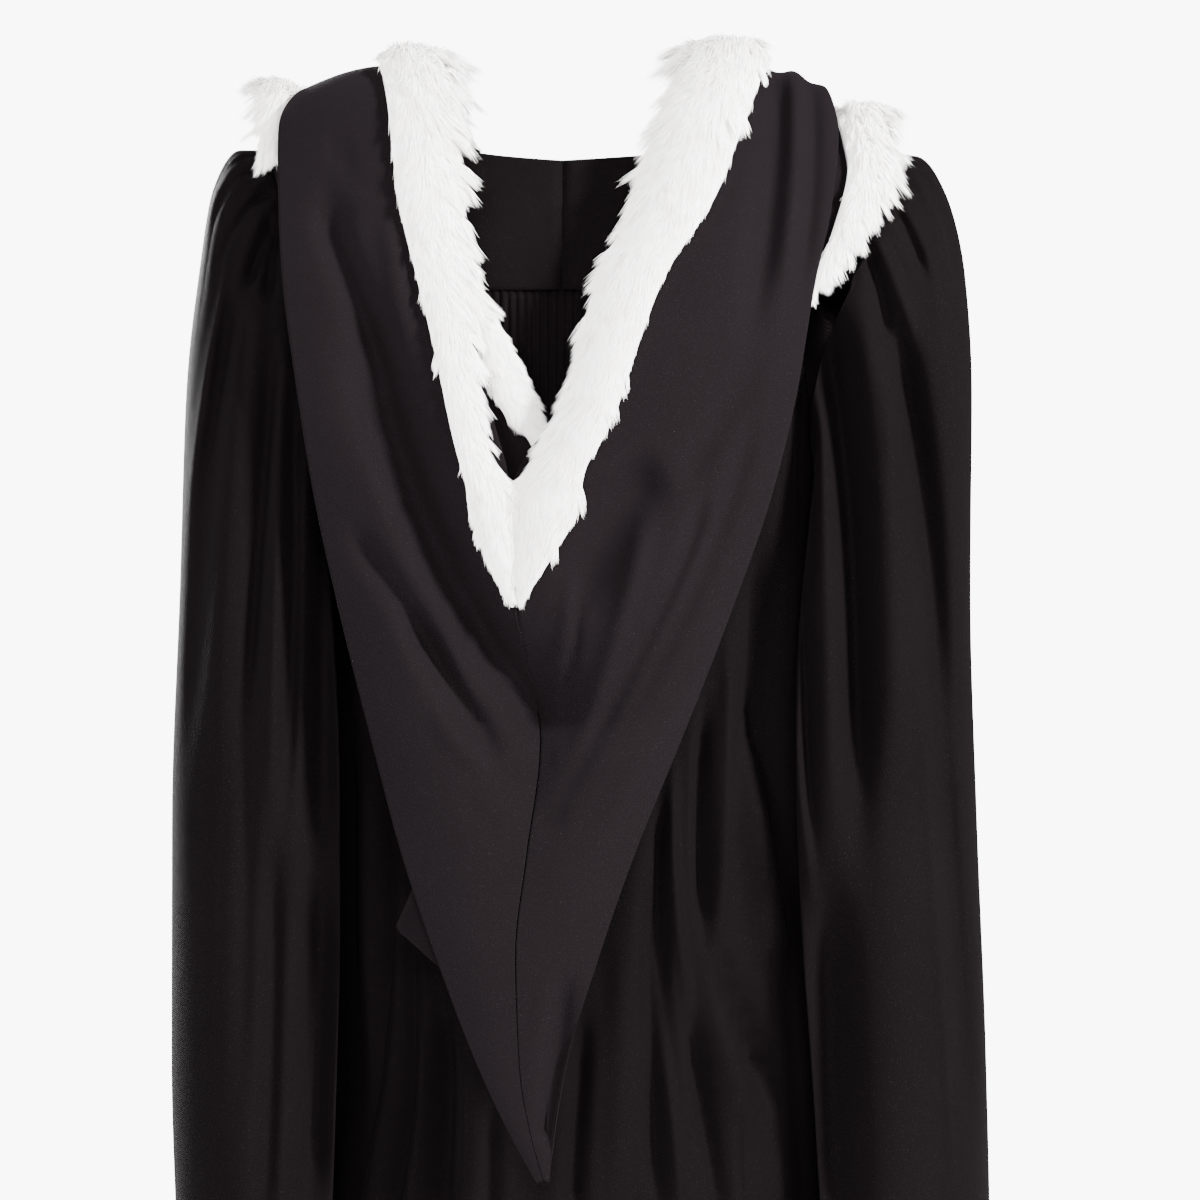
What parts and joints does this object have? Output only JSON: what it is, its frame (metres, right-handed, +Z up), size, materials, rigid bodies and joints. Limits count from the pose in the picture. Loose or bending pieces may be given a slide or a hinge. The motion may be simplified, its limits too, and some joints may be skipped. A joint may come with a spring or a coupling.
{
  "type": "graduation gown with hood",
  "caption": "Open academic gown with a gathered yoke and hanging sleeves, worn under a pointed hood bound in white fur, draped as on a standing wearer.",
  "frame": {"origin": "middle of the neck opening at the height of the back neckline, where the neck and shoulders hold it up", "axes": "+Z up, +Y towards the wearer's back, +X towards the wearer's left, so the wearer faces -Y"},
  "size_m": [0.65, 0.3467, 1.3256],
  "materials": {
    "black_cloth": "matte",
    "hood_cloth": "satin",
    "white_fur": "fluffy"
  },
  "bodies": {
    "root": {"back_panel": "black_cloth", "front_left": "black_cloth", "front_right": "black_cloth", "fur_cape_left": "white_fur", "fur_cape_right": "white_fur", "fur_inner_left": "white_fur", "fur_inner_right": "white_fur", "fur_v_left": "white_fur", "fur_v_right": "white_fur", "hood_cape_left": "hood_cloth", "hood_cape_right": "hood_cloth", "hood_cowl_left": "hood_cloth", "hood_cowl_right": "hood_cloth", "hood_neckband": "hood_cloth", "sleeve_left": "black_cloth", "sleeve_right": "black_cloth", "yoke_left": "black_cloth", "yoke_right": "black_cloth"}
  },
  "joints": []
}
